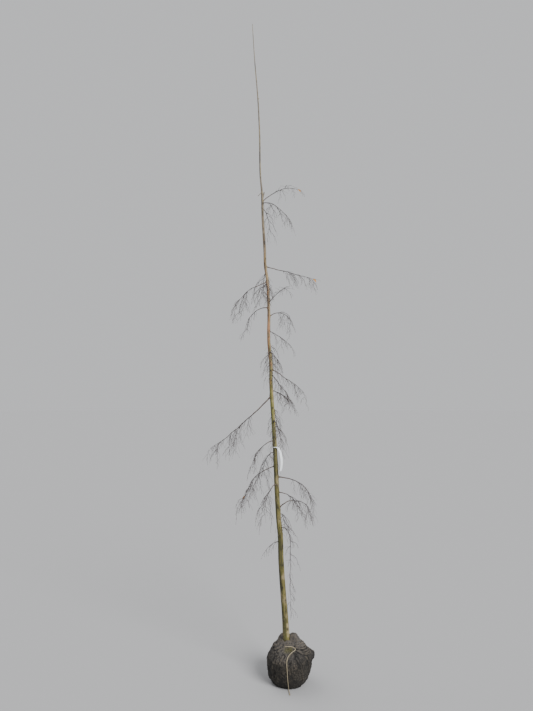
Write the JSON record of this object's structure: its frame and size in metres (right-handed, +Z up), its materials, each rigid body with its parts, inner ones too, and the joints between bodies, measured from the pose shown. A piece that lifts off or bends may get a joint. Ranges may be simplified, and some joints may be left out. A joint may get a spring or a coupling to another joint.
{
  "type": "bare weeping sapling with wrapped root ball",
  "caption": "Tall slender bare sapling with a leaning trunk, arching boughs and hanging twigs, standing on a hessian-wrapped root ball.",
  "frame": {"origin": "middle of the root ball's flat underside, on the surface that it stands on", "axes": "+Z up along the trunk, +X to the right and -Y towards the viewer in the front view; the trunk leans 2.9 degrees towards -X"},
  "size_m": [0.8156, 0.6149, 4.81],
  "materials": {
    "trunk_bark": "matte",
    "bough_bark": "matte",
    "bare_twigs": "matte",
    "hessian_wrap": "matte",
    "straw_twine": "matte",
    "white_tag": "satin",
    "held_leaves": "matte"
  },
  "bodies": {
    "root": {"bough_high_back": "bough_bark", "bough_high_front": "bough_bark", "bough_high_left": "bough_bark", "bough_high_right": "bough_bark", "bough_low_arch": "bough_bark", "bough_low_back": "bough_bark", "bough_low_right": "bough_bark", "bough_lower_back": "bough_bark", "bough_lower_front": "bough_bark", "bough_lower_left": "bough_bark", "bough_main_left": "bough_bark", "bough_middle_back": "bough_bark", "bough_middle_front": "bough_bark", "bough_middle_right": "bough_bark", "bough_top_back": "bough_bark", "bough_top_right": "bough_bark", "bough_upper_left": "bough_bark", "bough_upper_right": "bough_bark", "bough_waist_back": "bough_bark", "bough_waist_front": "bough_bark", "bough_waist_left": "bough_bark", "bough_waist_right": "bough_bark", "root_ball": "hessian_wrap", "tag": "white_tag", "trunk": "trunk_bark", "twigs_high_back": "bare_twigs", "twigs_high_front": "bare_twigs", "twigs_high_left": "bare_twigs", "twigs_high_right": "bare_twigs", "twigs_long_fall": "bare_twigs", "twigs_low_arch": "bare_twigs", "twigs_low_back": "bare_twigs", "twigs_low_right": "bare_twigs", "twigs_lower_back": "bare_twigs", "twigs_lower_front": "bare_twigs", "twigs_lower_left": "bare_twigs", "twigs_lowest_spur": "bare_twigs", "twigs_main_left": "bare_twigs", "twigs_middle_back": "bare_twigs", "twigs_middle_front": "bare_twigs", "twigs_middle_low": "bare_twigs", "twigs_middle_right": "bare_twigs", "twigs_middle_spur": "bare_twigs", "twigs_short_right": "bare_twigs", "twigs_top_back": "bare_twigs", "twigs_top_low": "bare_twigs", "twigs_top_right": "bare_twigs", "twigs_upper_left": "bare_twigs", "twigs_upper_right": "bare_twigs", "twigs_upper_spur": "bare_twigs", "twigs_waist_back": "bare_twigs", "twigs_waist_front": "bare_twigs", "twigs_waist_left": "bare_twigs", "twigs_waist_right": "bare_twigs", "twine": "straw_twine"}
  },
  "joints": []
}
